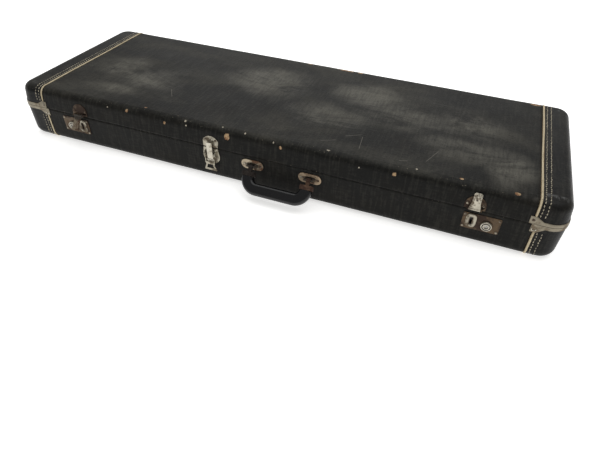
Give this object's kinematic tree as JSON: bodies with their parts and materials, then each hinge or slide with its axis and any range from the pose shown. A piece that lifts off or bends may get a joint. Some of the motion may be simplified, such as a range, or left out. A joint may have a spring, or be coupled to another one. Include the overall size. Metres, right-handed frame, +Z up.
{
  "type": "guitar case",
  "caption": "Hard rectangular guitar case with a hinged lid, carrying handle, key latches, draw latch and a padded guitar-shaped well with a lidded accessory box.",
  "frame": {"origin": "centre of the flat underside of the base", "axes": "+X along the case's length to the right seen from the front, +Y from the front with the handle towards the hinges, +Z up through the lid"},
  "size_m": [1.0216, 0.3964, 0.1082],
  "materials": {
    "vinyl": "worn black textured vinyl",
    "end_vinyl": "smoother black vinyl end covers",
    "piping": "aged cream welt cord",
    "nickel": "tarnished nickel plate",
    "rusty_plate": "rusted steel lock plate",
    "brassy": "worn brassy plate",
    "steel": "plain steel",
    "handle": "moulded black handle",
    "plywood": "plywood",
    "plush": "burnt orange plush",
    "tab": "black leather tab"
  },
  "bodies": {
    "base": {"base_covering": "vinyl", "base_frame": "plywood", "base_panel": "plywood", "base_lining": "plush", "base_end_cover_left": "end_vinyl", "base_piping_left": "piping", "base_binding_left": "nickel", "base_end_cover_right": "end_vinyl", "base_piping_right": "piping", "base_binding_right": "nickel", "base_rivets": "nickel", "rim_lip": "plywood", "body_cushion": "plush", "head_cushion": "plush", "neck_side_cushion": "plush", "neck_rest": "plush", "accessory_box": "plywood", "accessory_hinge": "plush", "hinge_lower_leaves": "nickel", "hinge_pins": "steel", "lock_cases": "steel", "lock_springs": "steel", "lock_plate_left": "rusty_plate", "lock_plate_right": "rusty_plate", "draw_plate": "nickel", "draw_pins": "steel", "handle_plate_left": "brassy", "handle_plate_right": "brassy"},
    "lid": {"lid_covering": "vinyl", "lid_frame": "plywood", "lid_panel": "plywood", "lid_lining": "plush", "lid_end_cover_left": "end_vinyl", "lid_piping_left": "piping", "lid_binding_left": "nickel", "lid_end_cover_right": "end_vinyl", "lid_piping_right": "piping", "lid_binding_right": "nickel", "lid_pad": "plush", "lid_rivets": "nickel", "hinge_upper_leaves": "nickel", "hasp_pins": "steel", "hasp_plate_left": "rusty_plate", "hasp_plate_right": "rusty_plate", "draw_catch": "nickel"},
    "accessory_lid": {"accessory_lid": "plush", "accessory_tab": "tab"},
    "hasp_left": {"hasp_left": "nickel"},
    "hasp_right": {"hasp_right": "nickel"},
    "button_left": {"lock_button_left": "nickel", "lock_bolt_left": "steel"},
    "button_right": {"lock_button_right": "nickel", "lock_bolt_right": "steel"},
    "key_plug_left": {"key_plug_left": "steel"},
    "key_plug_right": {"key_plug_right": "steel"},
    "draw_lever": {"draw_lever": "nickel", "hook_pin": "steel"},
    "draw_hook": {"draw_hook": "nickel"},
    "handle": {"handle_grip": "handle", "handle_loops": "rusty_plate"}
  },
  "joints": [
    {"name": "lid_hinge", "type": "hinge", "parent": "base", "child": "lid", "pos_m": [0, 0.1784, 0.0682], "axis": [-1, 0, 0], "range_deg": [0, 105]},
    {"name": "accessory_lid_hinge", "type": "hinge", "parent": "base", "child": "accessory_lid", "pos_m": [-0.07, -0.0408, 0.0556], "axis": [-1, 0, 0], "range_deg": [0, 95]},
    {"name": "handle_swing", "type": "hinge", "parent": "base", "child": "handle", "pos_m": [0.049, -0.18069, 0.05161], "axis": [-1, 0, 0], "range_deg": [-28, 118]},
    {"name": "draw_lever_turn", "type": "hinge", "parent": "base", "child": "draw_lever", "pos_m": [-0.085, -0.18044, 0.05663], "axis": [-1, 0, 0], "range_deg": [0, 120]},
    {"name": "draw_hook_turn", "type": "hinge", "parent": "draw_lever", "child": "draw_hook", "pos_m": [-0.085, -0.17969, 0.04565], "axis": [-1, 0, 0], "range_deg": [-120, 0]},
    {"name": "hasp_left", "type": "hinge", "parent": "lid", "child": "hasp_left", "pos_m": [-0.3655, -0.18, 0.072], "axis": [-1, 0, 0], "range_deg": [-40, 142]},
    {"name": "button_left", "type": "slide", "parent": "base", "child": "button_left", "axis": [-1, 0, 0], "range_m": [0, 0.005], "stiffness_N_per_m": 120, "springref_m": -0.002},
    {"name": "key_turn_left", "type": "hinge", "parent": "button_left", "child": "key_plug_left", "pos_m": [-0.39, -0.17577, 0.04345], "axis": [0, -0.9988, -0.0499], "range_deg": [0, 90]},
    {"name": "hasp_right", "type": "hinge", "parent": "lid", "child": "hasp_right", "pos_m": [0.372, -0.18, 0.072], "axis": [-1, 0, 0], "range_deg": [-182, 0]},
    {"name": "button_right", "type": "slide", "parent": "base", "child": "button_right", "axis": [1, 0, 0], "range_m": [0, 0.005], "stiffness_N_per_m": 120, "springref_m": -0.002},
    {"name": "key_turn_right", "type": "hinge", "parent": "button_right", "child": "key_plug_right", "pos_m": [0.3965, -0.17577, 0.04345], "axis": [0, -0.9988, -0.0499], "range_deg": [0, 90]}
  ],
  "couplings": [
    {"joint": "draw_hook_turn", "follows": "draw_lever_turn", "ratio": -1},
    {"joint": "accessory_lid_hinge", "follows": "lid_hinge", "ratio": 0.9}
  ]
}
